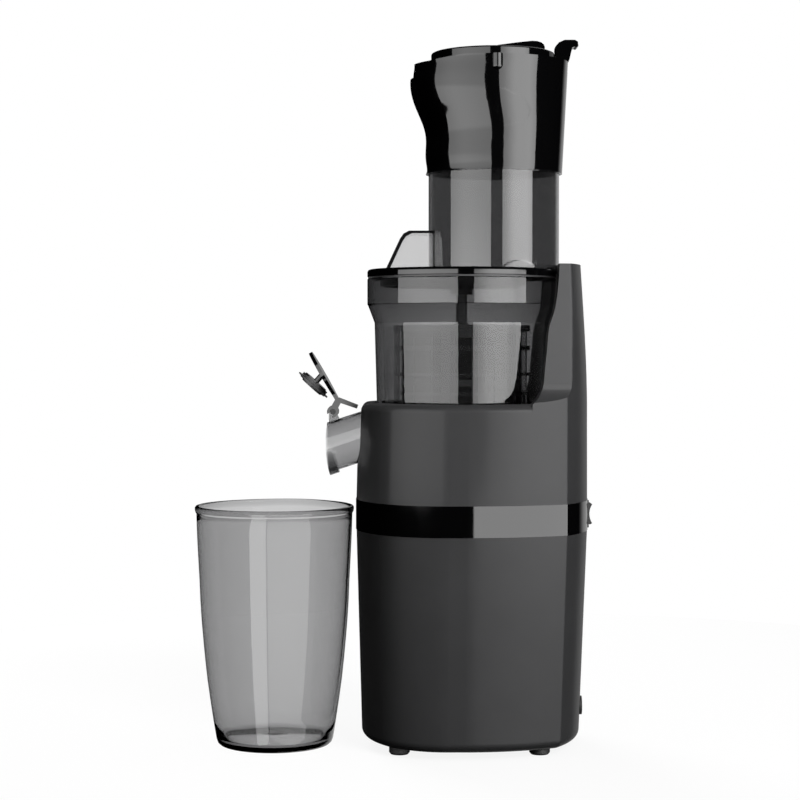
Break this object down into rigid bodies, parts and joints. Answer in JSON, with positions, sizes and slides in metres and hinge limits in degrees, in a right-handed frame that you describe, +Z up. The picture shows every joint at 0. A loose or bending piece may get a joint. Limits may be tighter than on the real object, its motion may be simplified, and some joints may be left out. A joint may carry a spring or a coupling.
{
  "type": "cold press juicer",
  "caption": "Upright cold press juicer with a lift-off bowl, wide feed chute with hinged flap, capped juice spout, rear column and a loose juice jug.",
  "frame": {"origin": "on the vertical drive axis, at the level that the feet stand on", "axes": "+Z up along the drive axis, -X to the front with its juice spout and jug, +X to the rear column and power switch"},
  "size_m": [0.2541, 0.139, 0.4488],
  "materials": {
    "housing_grey": "fine satin grain",
    "band_black": "polished",
    "gloss_black": "polished",
    "smoke_clear": "clear smoked, polished",
    "jug_clear": "clear smoked, polished",
    "inner_black": "satin",
    "rocker_black": "satin",
    "auger_grey": "satin",
    "silicone_grey": "matt",
    "silicone_black": "matt",
    "rubber_black": "matt",
    "steel": "brushed",
    "zinc_steel": "zinc plated",
    "gear_nylon": "satin",
    "gearbox_grey": "satin",
    "laminated_iron": "laminated",
    "ferrite": "matt",
    "copper": "polished",
    "carbon": "matt",
    "board_green": "satin"
  },
  "bodies": {
    "base": {"lower_housing": "housing_grey", "trim_band": "band_black", "upper_housing": "housing_grey", "base_plate": "housing_grey", "foot_front_left": "rubber_black", "foot_front_right": "rubber_black", "foot_rear_left": "rubber_black", "foot_rear_right": "rubber_black", "tie_screws": "zinc_steel", "gearbox_case": "gearbox_grey", "gearbox_cover": "gearbox_grey", "gearbox_screws": "zinc_steel", "idler_axle": "steel", "shaft_bearings": "steel", "bearing_clip": "steel", "shaft_seal": "rubber_black", "motor_can": "zinc_steel", "motor_end_cap": "zinc_steel", "motor_screws": "zinc_steel", "motor_bearings": "steel", "motor_magnets": "ferrite", "motor_brushes": "carbon", "control_board": "board_green", "interlock_sensor": "board_green", "cord_grommet": "rubber_black", "switch_bezel": "inner_black"},
    "motor_rotor": {"rotor_core": "laminated_iron", "commutator": "copper", "motor_shaft": "steel", "motor_pinion": "steel", "cooling_fan": "gear_nylon"},
    "idler": {"idler_wheel": "gear_nylon", "idler_pinion": "steel"},
    "drive": {"output_gear": "gear_nylon", "drive_shaft": "steel", "drive_coupling": "zinc_steel"},
    "rocker": {"power_rocker": "rocker_black"},
    "bowl": {"juice_bowl": "smoke_clear", "bowl_seal": "silicone_grey", "strainer_frame": "inner_black", "strainer_mesh": "steel", "cap_pin": "steel"},
    "auger": {"auger_screw": "auger_grey", "auger_core": "steel"},
    "small_gear": {"bowl_gear": "auger_grey"},
    "brush": {"brush_frame": "inner_black", "brush_wipers": "silicone_grey"},
    "spout_cap": {"cap_lever": "gloss_black", "cap_plug": "silicone_black"},
    "gasket": {"lid_gasket": "silicone_grey"},
    "lid": {"lid_cover": "gloss_black", "feed_chute": "smoke_clear", "lid_magnet": "ferrite"},
    "hopper": {"hopper_shell": "gloss_black", "flap_pin": "steel", "latch_pin": "steel"},
    "flap": {"hopper_flap": "gloss_black"},
    "latch": {"flap_latch": "gloss_black"},
    "jug": {"juice_jug": "jug_clear"}
  },
  "joints": [
    {"name": "motor_spin", "type": "hinge", "parent": "base", "child": "motor_rotor", "pos_m": [0, 0, 0.05], "axis": [0, 0, 1], "continuous": true},
    {"name": "idler_spin", "type": "hinge", "parent": "base", "child": "idler", "pos_m": [0.0375, 0, 0.1], "axis": [0, 0, 1], "continuous": true},
    {"name": "drive_spin", "type": "hinge", "parent": "base", "child": "drive", "pos_m": [0, 0, 0.115], "axis": [0, 0, 1], "continuous": true},
    {"name": "power_switch", "type": "hinge", "parent": "base", "child": "rocker", "pos_m": [0.076, 0, 0.14765], "axis": [0, 1, 0], "range_deg": [-8, 8]},
    {"name": "bowl_lift", "type": "slide", "parent": "base", "child": "bowl", "axis": [0, 0, 1], "range_m": [0, 0.12]},
    {"name": "auger_spin", "type": "hinge", "parent": "bowl", "child": "auger", "pos_m": [0, 0, 0.19], "axis": [0, 0, 1], "continuous": true},
    {"name": "small_gear_spin", "type": "hinge", "parent": "bowl", "child": "small_gear", "pos_m": [0, -0.024, 0.19], "axis": [0, 0, 1], "continuous": true},
    {"name": "brush_spin", "type": "hinge", "parent": "bowl", "child": "brush", "pos_m": [0, 0, 0.19], "axis": [0, 0, 1], "continuous": true},
    {"name": "spout_cap_swing", "type": "hinge", "parent": "bowl", "child": "spout_cap", "pos_m": [-0.0822, 0, 0.2129], "axis": [0, -1, 0], "range_deg": [0, 150]},
    {"name": "lid_turn", "type": "hinge", "parent": "bowl", "child": "gasket", "pos_m": [0, 0, 0.298], "axis": [0, 0, 1], "range_deg": [0, 30]},
    {"name": "lid_lift", "type": "slide", "parent": "gasket", "child": "lid", "axis": [0, 0, 1], "range_m": [0, 0.1]},
    {"name": "hopper_lift", "type": "slide", "parent": "lid", "child": "hopper", "axis": [0, 0, 1], "range_m": [0, 0.05]},
    {"name": "flap_open", "type": "hinge", "parent": "hopper", "child": "flap", "pos_m": [-0.0241, 0, 0.4276], "axis": [0, -1, 0], "range_deg": [0, 105]},
    {"name": "latch_release", "type": "hinge", "parent": "hopper", "child": "latch", "pos_m": [0.063, 0, 0.4313], "axis": [0, 1, 0], "range_deg": [0, 25], "stiffness_Nm_per_rad": 0.05},
    {"name": "jug_slide", "type": "slide", "parent": "base", "child": "jug", "axis": [-1, 0, 0], "range_m": [0, 0.12]}
  ],
  "couplings": [
    {"joint": "idler_spin", "follows": "motor_spin", "ratio": -0.19048},
    {"joint": "drive_spin", "follows": "motor_spin", "ratio": 0.047619},
    {"joint": "auger_spin", "follows": "motor_spin", "ratio": 0.047619},
    {"joint": "small_gear_spin", "follows": "motor_spin", "ratio": -0.047619},
    {"joint": "brush_spin", "follows": "motor_spin", "ratio": -0.015873}
  ]
}
